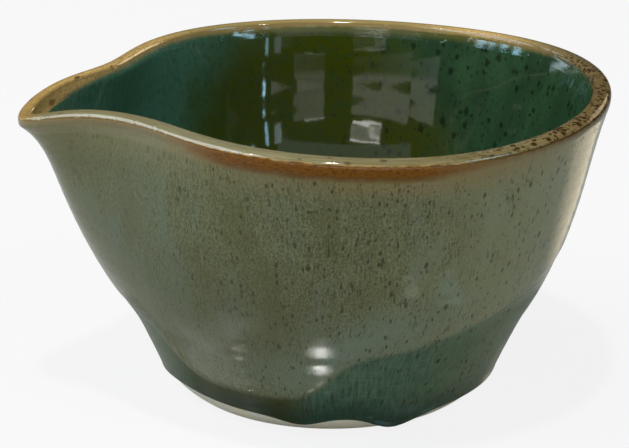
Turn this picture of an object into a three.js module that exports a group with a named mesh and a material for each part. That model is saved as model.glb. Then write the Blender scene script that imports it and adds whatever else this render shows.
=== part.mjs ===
// Spouted tea bowl (katakuchi): a thrown stoneware bowl with a pulled pouring lip.
// One clay body carries four fused coats of glaze. Each coat is its own closed solid
// and lies face to face on what it was applied over.
//
// Millimetres, +Z up, the foot stands on Z = 0 and the spout points along -X.
// Angles go round the bowl from the spout, positive towards -Y.

import * as THREE from 'three';

// Clay wall: radius and outward lean (degrees from vertical) at four heights
const footRadius = 33.8;
const footLean = 56;
const waistHeight = 10.9;
const waistRadius = 41.7;
const waistLean = 24.5;
const shoulderHeight = 23.9;
const shoulderRadius = 47.9;
const shoulderLean = 28.5;
const rimRadius = 63.0;
const rimLean = 18.5;
const rimHeight = 71.4;

// Clay thicknesses
const lipThickness = 3.4;
const lipSquareness = 3.2;
const wellWall = 5.4;
const floorThickness = 6.2;

// Inside of the well, where the wall runs into the floor
const wellHeight = 27;
const wellLean = 31;
const floorFlatness = 25;
const wellSweep = 15;

// Turned foot
const footRingWidth = 5.6;
const recessDepth = 2.6;
const recessBevel = 2.2;
const recessCrown = 0.5;
const crownRadius = 9;

// Pulled spout
const spoutRoot = 16.2;
const channelDepth = 11.8;
const channelAngle = 18.4;
const channelRise = 1.43;
const tipFlare = 4.9;
const tipAngle = 12.5;
const tipRise = 7.5;
const pinchDepth = 9.1;
const pinchOffset = 27.7;
const pinchAngle = 32.2;
const pinchRise = 2.85;
const tipDrop = 4.4;
const dropAngle = 10;
const dropRise = 5;
const rimTilt = 0.45;

// The rim climbs a little opposite the spout, where the hand let go
const backRise = 1.8;
const backRiseSide = 182;
const backRiseAngle = 42;
const backRiseGrowth = 3;

// Glaze coats
const baseCoat = 0.5;
const overCoat = 0.4;
const linerCoat = 0.5;
const rimCoat = 0.45;
const edgeRoll = 0.32;
const edgeRollWidth = 0.9;

// Lower edge of the first coat: a wavy line with a few runs of glaze
const footLineHeight = 4.1;
const footLineWaves = [
  { count: 5, height: 0.35, turn: 40 },
  { count: 9, height: 0.2, turn: 0 },
];
const glazeRuns = [
  { angle: 68, length: 1.4, width: 8 },
  { angle: 99, length: 3.0, width: 10 },
  { angle: 214, length: 1.8, width: 11 },
  { angle: 318, length: 1.2, width: 9 },
];

// Lower edge of the second coat: a tilted dip line with one broad tongue
const dipHeight = 27.4;
const dipTilt = 10.2;
const dipHighSide = 210;
const tongueLength = 8.9;
const tongueSide = 54;
const tongueHalfWidth = 28.6;
const tongueSquareness = 6;
const firstCoatMargin = 2;

// Iron coat on the rim: how far it comes down from the crest
const rimBandOutside = 4.2;
const rimBandInside = 3.4;

// Facets
const spoutSectorAngle = 56;
const spoutSteps = 24;
const bodySteps = 36;
const lipSteps = 6;
const firstCoatSteps = 3;
const bothCoatSteps = 7;
const innerWallSteps = 5;
const floorSteps = 7;
const rollSteps = [0.15, 1, 2.2];

const rad = THREE.MathUtils.degToRad;
const lean = (degrees) => Math.tan(rad(degrees));
const mix = THREE.MathUtils.lerp;
const clamp = THREE.MathUtils.clamp;
const bell = (x) => Math.exp(-x * x);

// Shortest signed angle in degrees between two bearings
function bearing(angle, from) {
  return THREE.MathUtils.euclideanModulo(angle - from + 180, 360) - 180;
}

// Cubic through two stations [height, radius, slope]
function between([z0, r0, s0], [z1, r1, s1], z) {
  const h = z1 - z0;
  const t = (z - z0) / h;
  const u = 1 - t;
  return r0 * u * u * (1 + 2 * t) + r1 * t * t * (3 - 2 * t) + h * t * u * (s0 * u - s1 * t);
}

// Clay outline: the wall ends where the round lip starts, square to the wall
const lipRadius = lipThickness / 2;
const lipMiddle = rimRadius - lipRadius;
const lipHeight = rimHeight - lipRadius;
const lipFoot = lipHeight - lipRadius * Math.sin(rad(rimLean));
const lipHalfWidth = lipRadius * Math.cos(rad(rimLean));

const stations = [
  [0, footRadius, lean(footLean)],
  [waistHeight, waistRadius, lean(waistLean)],
  [shoulderHeight, shoulderRadius, lean(shoulderLean)],
  [lipFoot, lipMiddle + lipHalfWidth, lean(rimLean)],
];

function wallRadius(height) {
  const z = clamp(height, 0, lipFoot);
  const upper = stations.findIndex(([stationHeight]) => z <= stationHeight);
  const k = Math.max(upper, 1);
  return between(stations[k - 1], stations[k], z);
}

// Outward unit normal of the clay wall, as [radial, vertical]
function wallNormal(z) {
  const reach = 0.01;
  const above = Math.min(z + reach, lipFoot);
  const below = Math.max(z - reach, 0);
  const slope = (wallRadius(above) - wallRadius(below)) / (above - below);
  const length = Math.hypot(1, slope);
  return [1 / length, -slope / length];
}

// The spout pulls the round bowl out of true: outward or inward shift at an angle and height
function spoutClimb(z) {
  return clamp((z - spoutRoot) / (lipFoot - spoutRoot), 0, 1);
}

function spoutShift(angle, z) {
  const climb = spoutClimb(z);
  const a = bearing(angle, 0);
  const channel = channelDepth * climb ** channelRise * bell(a / channelAngle);
  const flare = tipFlare * climb ** tipRise * bell(a / tipAngle);
  const thumbs = bell((a - pinchOffset) / pinchAngle) + bell((a + pinchOffset) / pinchAngle);
  return channel + flare - pinchDepth * climb ** pinchRise * thumbs;
}

function lift(angle, z) {
  const climb = spoutClimb(z);
  const a = bearing(angle, 0);
  const tilt = rimTilt * climb * Math.cos(rad(a));
  const drop = tipDrop * climb ** dropRise * bell(a / dropAngle);
  const rise = backRise * climb ** backRiseGrowth * bell(bearing(angle, backRiseSide) / backRiseAngle);
  return tilt - drop + rise;
}

// Place a profile point [radius, height] of the round bowl on the spouted one. Its depth
// behind the clay wall is kept, measured square to the wall's plan outline.
const footCentreX = footCentreOffset();

function place(angle, [r, z]) {
  const step = 0.05;
  const wall = wallRadius(z);
  const reach = wall + spoutShift(angle, z);
  const slope = (spoutShift(angle + step, z) - spoutShift(angle - step, z)) / (2 * rad(step));
  const length = Math.hypot(reach, slope);
  const depth = wall - r;
  const out = reach - (depth * reach) / length;
  const side = (depth * slope) / length;
  const a = rad(angle);
  return new THREE.Vector3(
    footCentreX - out * Math.cos(a) + side * Math.sin(a),
    -out * Math.sin(a) - side * Math.cos(a),
    z + lift(angle, z),
  );
}

// The foot's centre lies off the middle of the whole length by half of what the spout adds
function footCentreOffset() {
  return (spoutShift(0, lipFoot) - spoutShift(180, lipFoot)) / 2;
}

// Edges of the coats, as heights on the clay wall
function footLine(angle) {
  const waves = footLineWaves.map((wave) => wave.height * Math.sin(rad(wave.count * angle + wave.turn)));
  const runs = glazeRuns.map((run) => -run.length * bell(bearing(angle, run.angle) / run.width));
  return [...waves, ...runs].reduce((height, change) => height + change, footLineHeight);
}

function dipLine(angle) {
  const tilt = dipTilt * Math.cos(rad(angle - dipHighSide));
  const across = Math.abs(bearing(angle, tongueSide)) / tongueHalfWidth;
  const tongue = tongueLength * Math.exp(-(across ** tongueSquareness));
  return smoothlyAbove(footLine(angle), dipHeight + tilt - tongue);
}

// A height that eases to stay above a lower edge, so that the first coat always shows
function smoothlyAbove(edge, height) {
  const rise = (height - edge) / 2;
  return edge + rise + Math.hypot(rise, firstCoatMargin);
}

const rimLineOutside = rimHeight - rimBandOutside;
const rimLineInside = rimHeight - rimBandInside;

// Rows of the clay profile, shared by the coats that lie on them
const spread = (from, to, steps) => Array.from({ length: steps + 1 }, (_, i) => mix(from, to, i / steps));
const onWall = (z) => [wallRadius(z), z];
const bareHeights = (angle) => [0, footLine(angle) / 2];
const firstCoatHeights = (angle) => spread(footLine(angle), dipLine(angle), firstCoatSteps).slice(0, -1);
const bothCoatHeights = (angle) => spread(dipLine(angle), rimLineOutside, bothCoatSteps);

// Top of the lip, or of the coat that lies this thick on it: a round that is fuller at its corners
function lipProfile(coat) {
  const arc = spread(rad(-rimLean), rad(180 + rimLean), lipSteps);
  return arc.map((a) => {
    const radius = (lipRadius + coat) * lipFullness(a);
    return [lipMiddle + radius * Math.cos(a), lipHeight + radius * Math.sin(a)];
  });
}

function lipFullness(a) {
  const across = Math.abs(Math.cos(a)) ** lipSquareness;
  const up = Math.abs(Math.sin(a)) ** lipSquareness;
  return Math.sin(a) > 0 ? (across + up) ** (-1 / lipSquareness) : 1;
}

// Inside of the clay: straight-sided wall, then one sweep into the floor
const innerLip = [lipFoot, lipMiddle - lipHalfWidth, lean(rimLean)];
const innerWell = [wellHeight, wallRadius(wellHeight) - wellWall, lean(wellLean)];
const floorTop = recessDepth + floorThickness;
const sweepEnd = new THREE.Vector2(innerWell[1], wellHeight);
const sweepPull = new THREE.Vector2(Math.sin(rad(wellLean)), Math.cos(rad(wellLean)));
const floorSweep = new THREE.CubicBezierCurve(
  new THREE.Vector2(0, floorTop),
  new THREE.Vector2(floorFlatness, floorTop),
  sweepEnd.clone().addScaledVector(sweepPull, -wellSweep),
  sweepEnd,
);

function innerProfile() {
  const upper = spread(rimLineInside, wellHeight, innerWallSteps);
  const sweep = floorSweep.getPoints(floorSteps).reverse().slice(1);
  return [...upper.map((z) => [between(innerWell, innerLip, z), z]), ...sweep.map(({ x, y }) => [x, y])];
}

// Move each point of a profile square to its own run, to the left of its direction
function offset(profile, distanceAt) {
  return profile.map(([r, z], i) => {
    const before = profile[Math.max(i - 1, 0)];
    const after = profile[Math.min(i + 1, profile.length - 1)];
    const dr = after[0] - before[0];
    const dz = after[1] - before[1];
    const length = Math.hypot(dr, dz);
    const d = distanceAt(i);
    return [r - (d * dz) / length, z + (d * dr) / length];
  });
}

// Thickness of a coat above its lower edge: a rounded roll of glaze, then the even coat
function coatThickness(coat, rise) {
  const start = Math.sqrt(clamp(rise / edgeRollWidth, 0, 1));
  return start * (coat + edgeRoll * bell((rise - edgeRollWidth) / edgeRollWidth));
}

// A point over the clay wall with the first coat, or both coats, under it
function overFirstCoat(angle, z) {
  const thickness = coatThickness(baseCoat, z - footLine(angle));
  const [nr, nz] = wallNormal(z);
  return [wallRadius(z) + thickness * nr, z + thickness * nz];
}

function overSecondCoat(angle, z) {
  const thickness = coatThickness(overCoat, z - dipLine(angle));
  const [r, height] = overFirstCoat(angle, z);
  const [nr, nz] = wallNormal(z);
  return [r + thickness * nr, height + thickness * nz];
}

// Rows that round off the lower edge of a coat, closer together where the coat is short
function rollHeights(edge, top) {
  const width = Math.min(edgeRollWidth, (top - edge) / (rollSteps.length + 1));
  return rollSteps.map((step) => edge + step * width);
}

// Closed profiles of the five solids at one angle round the bowl
function clayProfile(angle) {
  const ringInside = footRadius - footRingWidth;
  return [
    [0, recessDepth - recessCrown],
    [crownRadius, recessDepth],
    [ringInside - recessBevel, recessDepth],
    [ringInside, 0],
    ...bareHeights(angle).map(onWall),
    ...firstCoatHeights(angle).map(onWall),
    ...bothCoatHeights(angle).map(onWall),
    ...lipProfile(0),
    ...innerProfile(),
  ];
}

function linerProfile() {
  const clay = innerProfile();
  const surface = offset(clay, () => -linerCoat);
  surface[surface.length - 1] = [0, floorTop + linerCoat];
  return [...clay, ...surface.reverse()];
}

function baseProfile(angle) {
  const inner = [...firstCoatHeights(angle), ...bothCoatHeights(angle)];
  const roll = rollHeights(footLine(angle), dipLine(angle));
  const outer = [...roll, firstCoatHeights(angle).at(-1), ...bothCoatHeights(angle)];
  return [...inner.map(onWall), ...outer.map((z) => overFirstCoat(angle, z)).reverse()];
}

function overdipProfile(angle) {
  const inner = bothCoatHeights(angle);
  const outer = [...rollHeights(dipLine(angle), rimLineOutside), ...inner.slice(1)];
  return [
    ...inner.map((z) => overFirstCoat(angle, z)),
    ...outer.map((z) => overSecondCoat(angle, z)).reverse(),
  ];
}

function rimProfile(angle) {
  const inside = innerProfile();
  const [linerEdge] = offset(inside, () => -linerCoat);
  return [
    onWall(rimLineOutside),
    ...lipProfile(0),
    inside[0],
    linerEdge,
    ...lipProfile(rimCoat).reverse(),
    overSecondCoat(angle, rimLineOutside),
    overFirstCoat(angle, rimLineOutside),
  ];
}

// Angles of the profiles: closer together round the spout
function stationAngles() {
  const spout = spread(-spoutSectorAngle, spoutSectorAngle, spoutSteps);
  const body = spread(spoutSectorAngle, 360 - spoutSectorAngle, bodySteps);
  return [...spout, ...body.slice(1, -1)];
}

// Run a closed profile the way that makes its solid's faces look outward
function oriented(profile) {
  const outline = profile.map(([r, z]) => new THREE.Vector2(r, z));
  return THREE.ShapeUtils.isClockWise(outline) ? profile : [...profile].reverse();
}

// Skin a closed solid over the profiles. Quads are always split from their lower near corner,
// so two solids that share rows also share the same facets.
function skin(profileAt) {
  const angles = stationAngles();
  const profiles = angles.map((angle) => oriented(profileAt(angle)));
  const positions = [];
  const known = new Map();

  function vertex(i, k) {
    const point = place(angles[i], profiles[i][k]);
    const key = [point.x, point.y, point.z].map((value) => Math.round(value * 1e4)).join();
    if (!known.has(key)) {
      known.set(key, positions.length / 3);
      positions.push(point.x, point.y, point.z);
    }
    return known.get(key);
  }

  const rows = profiles[0].length;
  const grid = profiles.map((profile, i) => profile.map((_, k) => vertex(i, k)));
  const faces = [];
  const addFace = (a, b, c) => {
    if (a !== b && b !== c && c !== a) faces.push(a, b, c);
  };
  for (let i = 0; i < angles.length; i += 1) {
    const next = (i + 1) % angles.length;
    for (let k = 0; k < rows; k += 1) {
      const up = (k + 1) % rows;
      const [near, nearUp] = [profiles[i][k], profiles[i][up]];
      const rising = nearUp[1] === near[1] ? nearUp[0] > near[0] : nearUp[1] > near[1];
      const [a, b, c, d] = [grid[i][k], grid[next][k], grid[next][up], grid[i][up]];
      if (rising) {
        addFace(a, c, b);
        addFace(a, d, c);
      } else {
        addFace(a, d, b);
        addFace(d, c, b);
      }
    }
  }

  const geometry = new THREE.BufferGeometry();
  geometry.setAttribute('position', new THREE.Float32BufferAttribute(positions, 3));
  geometry.setIndex(faces);
  geometry.computeVertexNormals();
  return geometry;
}

// Materials
const stoneware = new THREE.MeshStandardMaterial({ color: 0x96907a, roughness: 0.85, metalness: 0 });
const tealGlaze = new THREE.MeshStandardMaterial({ color: 0x343e33, roughness: 0.25, metalness: 0 });
const sageGlaze = new THREE.MeshStandardMaterial({ color: 0x5c6149, roughness: 0.35, metalness: 0 });
const greenGlaze = new THREE.MeshStandardMaterial({ color: 0x24392c, roughness: 0.12, metalness: 0 });
const ironGlaze = new THREE.MeshStandardMaterial({ color: 0x6e5c38, roughness: 0.22, metalness: 0 });

// Pieces
const pieces = [
  ['clay_body', clayProfile, stoneware],
  ['liner_glaze', linerProfile, greenGlaze],
  ['base_glaze', baseProfile, tealGlaze],
  ['overdip_glaze', overdipProfile, sageGlaze],
  ['rim_glaze', rimProfile, ironGlaze],
];

const group = new THREE.Group();
for (const [name, profileAt, material] of pieces) {
  const mesh = new THREE.Mesh(skin(profileAt), material);
  mesh.name = name;
  group.add(mesh);
}

export default group;
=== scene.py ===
"""A spouted stoneware tea bowl with four fused coats of glaze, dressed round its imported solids.

Lengths are in millimetres until a mesh is made, and in metres after that. Angles go round
the bowl in degrees from the spout, which points along -X, and are positive towards -Y: the
spout is at 0, the front at 90, the end across from the spout at 180 and the back at -90.
"""

import math

import bpy
import numpy as np
from mathutils import Matrix, Vector


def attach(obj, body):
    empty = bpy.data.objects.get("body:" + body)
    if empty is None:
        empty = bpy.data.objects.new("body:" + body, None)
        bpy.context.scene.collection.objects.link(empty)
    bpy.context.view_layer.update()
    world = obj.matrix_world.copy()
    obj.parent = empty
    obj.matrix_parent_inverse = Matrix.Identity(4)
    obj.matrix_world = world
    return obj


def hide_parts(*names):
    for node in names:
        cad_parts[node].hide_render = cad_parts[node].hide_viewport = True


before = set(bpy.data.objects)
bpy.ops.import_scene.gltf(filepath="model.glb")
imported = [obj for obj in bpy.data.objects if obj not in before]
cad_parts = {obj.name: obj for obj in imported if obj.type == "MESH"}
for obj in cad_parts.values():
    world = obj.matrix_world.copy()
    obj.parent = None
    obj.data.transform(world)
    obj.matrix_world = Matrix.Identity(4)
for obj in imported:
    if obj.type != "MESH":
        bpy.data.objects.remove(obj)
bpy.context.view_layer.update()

MM = 0.001

# Clay wall: height, radius and outward lean at four stations
FOOT_RADIUS, FOOT_LEAN = 33.8, 56
WAIST_HEIGHT, WAIST_RADIUS, WAIST_LEAN = 10.9, 41.7, 24.5
SHOULDER_HEIGHT, SHOULDER_RADIUS, SHOULDER_LEAN = 23.9, 47.9, 28.5
RIM_RADIUS, RIM_LEAN, RIM_HEIGHT = 63.0, 18.5, 71.4

# Clay thicknesses, the inside of the well and the turned foot
LIP_THICKNESS, LIP_SQUARENESS, LIP_TILT = 3.4, 3.2, 9
WELL_WALL = 5.4
FLOOR_THICKNESS = 6.2
WELL_HEIGHT, WELL_LEAN = 27, 31
FLOOR_FLATNESS, WELL_SWEEP = 25, 15
FOOT_RING_WIDTH = 5.6
RECESS_DEPTH, RECESS_BEVEL = 2.6, 2.2
RECESS_CROWN, CROWN_RADIUS = 0.5, 9

# Pulled spout
SPOUT_ROOT = 16.2
CHANNEL_DEPTH, CHANNEL_ANGLE, CHANNEL_RISE = 11.8, 18.4, 1.43
TIP_FLARE, TIP_ANGLE, TIP_RISE = 4.9, 12.5, 7.5
PINCH_DEPTH, PINCH_OFFSET, PINCH_ANGLE, PINCH_RISE = 9.1, 27.7, 32.2, 2.85
TIP_DROP, DROP_ANGLE, DROP_RISE = 4.4, 10, 5
SPOUT_THINNING, THINNING_ANGLE, THINNING_RISE = 0.25, 30, 4
RIM_TILT = 0.45
BACK_RISE, BACK_RISE_SIDE, BACK_RISE_ANGLE, BACK_RISE_GROWTH = 1.8, 182, 42, 3
FRONT_SAG, FRONT_SAG_SIDE, FRONT_SAG_ANGLE, FRONT_SAG_GROWTH = 1.05, 104, 28, 3

# Glaze coats
BASE_COAT, OVER_COAT, LINER_COAT, RIM_COAT = 0.5, 0.4, 0.5, 0.45
EDGE_ROLL, EDGE_ROLL_WIDTH = 0.32, 0.9
RUN_GATHERING = 0.22
FEATHERED_EDGE = 2.6
COATS_THIN_FROM, COATS_THIN_SHARE = 46, 0.5
FOOT_LINE_HEIGHT = 4.1
FOOT_LINE_WAVES = [(5, 0.35, 40), (9, 0.2, 0)]
GLAZE_RUNS = [(28, -1.2, 20), (68, 1.4, 8), (99, 3.0, 10), (214, 1.8, 11), (318, 1.2, 9)]
DIP_HEIGHT, DIP_TILT, DIP_HIGH_SIDE = 34.7, 15.5, 238
TONGUE_LENGTH, TONGUE_SIDE, TONGUE_HALF_WIDTH, TONGUE_SQUARENESS = 10.1, 51, 28.2, 6
FIRST_COAT_MARGIN = 2
RIM_BAND_OUTSIDE, RIM_BAND_INSIDE = 4.2, 3.4

# Waves round the wall (lobes, depth, turn in radians, drift with height), throwing rings left
# by the fingers, and the small step where the foot was turned
WAVES = [(2, 0.10, 0.7, 0.05), (3, 0.07, 2.1, -0.11)]
STEP_HEIGHT, STEP_DEPTH, STEP_WIDTH = 21.3, 0.26, 1.3
OUTER_RING_DEPTH, OUTER_RING_PITCH = 0.015, 3.2
INNER_RING_DEPTH, INNER_RING_PITCH = 0.008, 6.4

# Steps round the bowl, and the girth that the glaze patterns are laid out on
TURN_STEPS = 480
PATTERN_RADIUS = 55

# Columns of the meshes: the bare foot, faces between clay and glaze, and the glazed faces
CROWN_COLUMNS, RECESS_COLUMNS, BEVEL_COLUMNS, RING_COLUMNS, BARE_COLUMNS = 6, 12, 8, 7, 10
CONTACT_COLUMNS, CONTACT_LIP_COLUMNS, DIP_CONTACT_COLUMNS = 16, 9, 14
BASE_ROLL_COLUMNS, BASE_COLUMNS, HIDDEN_BASE_COLUMNS = 14, 24, 14
DIP_ROLL_COLUMNS, DIP_COLUMNS = 12, 64
RIM_RISE_COLUMNS, LIP_COLUMNS, RIM_FALL_COLUMNS = 9, 22, 6
WELL_COLUMNS, FLOOR_COLUMNS = 64, 48

# Where a coat's first column stands above its edge, how far its edge roll reaches, how much
# closer its columns stand at the edge, and how far the first coat goes on in full detail
# under the second
EDGE_START, ROLL_REACH, ROLL_EASE = 0.02, 2.2 * EDGE_ROLL_WIDTH, 1.6
UNDER_DIP = 0.6
# Edges sharper than this in degrees are drawn sharp, and a radius below this is on the axis
SHARP_ANGLE, ON_AXIS = 50, 1e-6
ARC_SAMPLES = 400

# Colours of the glazes, as they are without the shine on them; a few also stand in for painted shade,
# painted light and painted reflection
SAGE_DARK, SAGE_PALE, SAGE_LIGHT = "#46482b", "#64674a", "#74775a"
SAGE_CREAM, SAGE_BLUE, SAGE_OLIVE, SAGE_PAINTED_SHADE = "#736d4a", "#5d6c5f", "#4b4b20", "#4a4d36"
SPECK, SPECK_RIM = "#232106", "#2c1606"
TEAL_DARK, TEAL, TEAL_PALE = "#10271c", "#243f2e", "#3d5845"
BLACK_OLIVE, GREY_OLIVE, GREY_TEAL = "#38370d", "#6a7053", "#5c6249"
LINER_DARK, LINER, LINER_TEAL = "#233a25", "#2e4b31", "#446d5a"
LINER_OLIVE, LINER_SPECK = "#343a02", "#10190c"
RUST, RUST_DARK, RUST_BROWN, TAN = "#6e440a", "#523209", "#523a1a", "#75603a"
KHAKI, KHAKI_PALE, KHAKI_BROWN, KHAKI_OLIVE = "#7b714c", "#928763", "#6b5631", "#55552c"
KHAKI_PAINTED_SHEEN = "#807b5e"
AMBER, AMBER_DARK, AMBER_INNER, AMBER_BACK, GOLD = "#d4b06e", "#a8834a", "#a28a5c", "#98824f", "#a08048"
CLAY_GREY, CLAY_TAN, CLAY_SPECK = "#cfcec4", "#d8cdb2", "#8a8270"

# Zones of the glaze patterns: the side that each lies on and its spread, in degrees
VALLEY_FRONT, VALLEY_BACK = (24, 15), (-25, 13)
SHADED_PINCH, SHADED_FRONT, PAINTED_LIGHT_FRONT = (20, 26), (60, 24), (126, 24)
PAINTED_SHEEN_END, PAINTED_SHEEN_SPOUT = (172, 34), (8, 14)
FEW_MARKS, BROWN_FRONT = (16, 34), (96, 30)
BLUE_LOBES, BROKEN_EDGE = (82, 24), (24, 17)
BASE_GREY_END, BASE_GREY_SPOUT, BASE_BLACK = (150, 33), (10, 26), (49, 24)
BASE_PALE_SPOUT, BASE_PALE_END, BASE_DULL = (6, 30), (150, 34), (32, 34)
LINER_TEAL_SIDE, LINER_OLIVE_SIDE, LINER_SPECK_SIDE = (-40, 34), (-98, 42), (-155, 55)
LINER_DULL_END, LINER_DULL_BACK = (-178, 24), (-110, 26)
LIP_BROWN, LIP_PAINTED_SHEEN, LIP_PALE = (150, 40), (48, 32), (80, 60)
LIP_AMBER_BACK, LIP_AMBER_SPOUT, LIP_DARK_AMBER = (-92, 65), (-14, 16), (-95, 34)
LIP_GOLD, LIP_FLECKS = (0, 16), (-20, 34)
LIP_DOTS, LIP_BLOTS, SPOUT_BLOTS = (148, 40), (110, 70), (-22, 22)
RUST_FRONT, RUST_END, DARK_LINE_END = (74, 30), (150, 45), (150, 55)
LINER_LOW_BACK, LINER_LOW_SPOUT = (-118, 46), (-1, 13)
GLOSSY_LEFT, DULL_RIGHT = (30, 36), (155, 34)

# Roughness of each surface, its specular level, the depth of its bump in mm, and how much
# higher the pimples of the lip stand than its orange peel
CLAY_ROUGHNESS, LINER_ROUGHNESS, BASE_ROUGHNESS = 0.85, 0.05, 0.17
SAGE_ROUGHNESS, LIP_ROUGHNESS = 0.1, 0.07
CLAY_SHINE, LINER_SHINE, BASE_SHINE = 0.5, 0.5, 0.27
SAGE_SHINE, RUST_SHINE, LIP_SHINE = 0.3, 0.13, 0.5
CLAY_BUMP, LINER_BUMP, BASE_BUMP, SAGE_BUMP, LIP_BUMP = 0.12, 0.008, 0.015, 0.016, 0.01
PIMPLE_HEIGHT = 6.0

# Floor: white to the eye, and keeping the shadow of the bowl. It lies a hair below the foot.
# For what the bowl mirrors, it is polished in a strip that runs front to back under the bowl,
# and in a field at the far right. Each pair gives where the polish starts to change and where
# it is done, in mm.
HALF_FLOOR = 4.0
FLOOR_DROP = 0.1
FLOOR_GREY = (0.55, 0.55, 0.53, 1)
FLOOR_ROUGHNESS, FLOOR_IOR = 0.07, 2.4
STRIP_LEFT, STRIP_RIGHT, FIELD_RIGHT, FIELD_BACK = (-62, -42), (46, 56), (80, 120), (0, 40)
FLOOR_SHINE = 0.5
FLOOR_WHITE_SEEN, FLOOR_WHITE_MIRRORED = 0.85, 0.05

# World and lamps. A lamp stands in a direction from the bowl: degrees round from +X towards
# +Y, and degrees up. Distances and sizes are in metres.
ROOM_LIGHT = (1.0, 0.95, 0.86, 1)
ROOM_STRENGTH = 0.06
LAMP_TARGET = Vector((0, 0, 0.05))
DAYLIGHT, SKY, WARM_WHITE = (0.72, 0.88, 1.0), (0.44, 0.8, 1.0), (1.0, 0.82, 0.54)
NEUTRAL, COOL_WHITE = (1.0, 0.98, 0.94), (0.86, 0.95, 1.0)
# name, degrees round, degrees up, distance, width, height, brightness, tint
SOFT_BOXES = [
    ("window_left", 163.5, 38.5, 1.2, 0.8, 0.94, 3.5, COOL_WHITE),
    ("window_corner", 191, 43, 1.2, 0.38, 0.73, 3.2, COOL_WHITE),
    ("pane_left_a", 178.2, 17.3, 1.2, 0.088, 0.026, 15.0, SKY),
    ("pane_left_b", 172.0, 16.4, 1.2, 0.088, 0.026, 15.0, SKY),
    ("pane_left_c", 165.0, 14.8, 1.2, 0.088, 0.026, 15.0, SKY),
    ("pane_left_d", 157.5, 12.2, 1.2, 0.088, 0.026, 15.0, SKY),
    ("window_far", 126, 4.5, 1.3, 0.36, 0.05, 3.5, DAYLIGHT),
    ("window_behind", 128, 24, 1.3, 0.25, 0.3, 3.0, DAYLIGHT),
    ("window_right", -28, 41, 1.3, 0.36, 0.32, 7.0, SKY),
    ("bar_right", -51, 20.7, 1.4, 0.34, 0.04, 16.0, SKY),
    ("strip_low", -65.5, 15.1, 1.4, 0.035, 0.03, 15.0, SKY),
    ("strip_high", -66.5, 19.5, 1.4, 0.035, 0.08, 8.0, SKY),
    ("strip_far", -73, 20.5, 1.4, 0.09, 0.06, 2.4, DAYLIGHT),
    ("panel_near", -77, 15.5, 1.4, 0.34, 0.04, 1.1, NEUTRAL),
    ("panel_middle", -91.2, 16.8, 1.4, 0.34, 0.06, 1.1, NEUTRAL),
    ("panel_low", -90.5, 19.2, 1.4, 0.38, 0.05, 0.8, NEUTRAL),
    ("far_sill", -93.5, 20.4, 1.4, 0.25, 0.006, 7.0, NEUTRAL),
    ("panel_a", -121.5, 18.4, 1.4, 0.36, 0.045, 1.15, NEUTRAL),
    ("panel_b", -137, 17.7, 1.4, 0.37, 0.07, 1.15, NEUTRAL),
    ("panel_c", -152, 15.3, 1.4, 0.34, 0.07, 1.05, NEUTRAL),
    ("pane_streak_a", -125.5, 21.0, 1.4, 0.24, 0.008, 16.0, NEUTRAL),
    ("pane_streak_b", -119.5, 21.5, 1.4, 0.22, 0.008, 16.0, NEUTRAL),
    ("pane_streak_c", -127.5, 21.9, 1.4, 0.13, 0.006, 14.0, NEUTRAL),
    ("pane_bars", -122.5, 22.5, 1.4, 0.39, 0.016, 1.6, NEUTRAL),
    ("pane_sill", -122.5, 23.3, 1.4, 0.39, 0.006, 20.0, NEUTRAL),
    ("low_front", -100, 3.5, 1.3, 2.2, 0.2, 4.6, NEUTRAL),
    ("high_front", -111, 30.5, 1.4, 1.96, 0.28, 0.55, DAYLIGHT),
    ("warm_right", 40, 22, 1.4, 0.62, 0.3, 4.2, WARM_WHITE),
]
# name, degrees round, degrees up, distance, diameter, brightness
ROUND_LAMPS = [
    ("lamp_front", -112, 75, 1.6, 0.12, 280),
    ("lamp_right", -55, 50, 1.6, 0.035, 460),
    ("lamp_left", 165, 63, 1.6, 0.035, 240),
]

# Camera: where the photograph was taken from, relative to the middle of the foot
CAMERA_DISTANCE = 0.5275
CAMERA_HEIGHT_ANGLE = 0.389
CAMERA_SWING = 0.230
CAMERA_YAW, CAMERA_PITCH, CAMERA_ROLL = -0.007, 0.067, 0.008
FOCAL_PIXELS, IMAGE_WIDTH = 2200, 629
SENSOR_WIDTH = 36
CLIP_START, CLIP_END = 0.01, 50


def rad(degrees):
    return np.radians(degrees)


def lean(degrees):
    return math.tan(math.radians(degrees))


def bell(x):
    return np.exp(-np.square(x))


def bearing(angle, origin=0):
    """Shortest signed angle from origin, in degrees."""
    return (angle - origin + 180) % 360 - 180


def between(low, high, z):
    """Cubic through two stations (height, radius, slope)."""
    z0, r0, s0 = low
    z1, r1, s1 = high
    h = z1 - z0
    t = (z - z0) / h
    u = 1 - t
    return r0 * u * u * (1 + 2 * t) + r1 * t * t * (3 - 2 * t) + h * t * u * (s0 * u - s1 * t)


LIP_RADIUS = LIP_THICKNESS / 2
LIP_MIDDLE = RIM_RADIUS - LIP_RADIUS
LIP_HEIGHT = RIM_HEIGHT - LIP_RADIUS
LIP_FOOT = LIP_HEIGHT - LIP_RADIUS * math.sin(rad(RIM_LEAN))
LIP_HALF_WIDTH = LIP_RADIUS * math.cos(rad(RIM_LEAN))
LIP_CREST = round((LIP_COLUMNS - 1) * (90 + RIM_LEAN) / 180)
INNER_LIP_ARC = (LIP_RADIUS + RIM_COAT) * float(rad(90 - RIM_LEAN))
RIM_LINE_OUTSIDE = RIM_HEIGHT - RIM_BAND_OUTSIDE
RIM_LINE_INSIDE = RIM_HEIGHT - RIM_BAND_INSIDE
STATIONS = [
    (0, FOOT_RADIUS, lean(FOOT_LEAN)),
    (WAIST_HEIGHT, WAIST_RADIUS, lean(WAIST_LEAN)),
    (SHOULDER_HEIGHT, SHOULDER_RADIUS, lean(SHOULDER_LEAN)),
    (LIP_FOOT, LIP_MIDDLE + LIP_HALF_WIDTH, lean(RIM_LEAN)),
]


def wall_radius(height):
    z = np.clip(height, 0, LIP_FOOT)
    parts = [between(low, high, z) for low, high in zip(STATIONS, STATIONS[1:])]
    return np.where(z <= WAIST_HEIGHT, parts[0], np.where(z <= SHOULDER_HEIGHT, parts[1], parts[2]))


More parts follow.
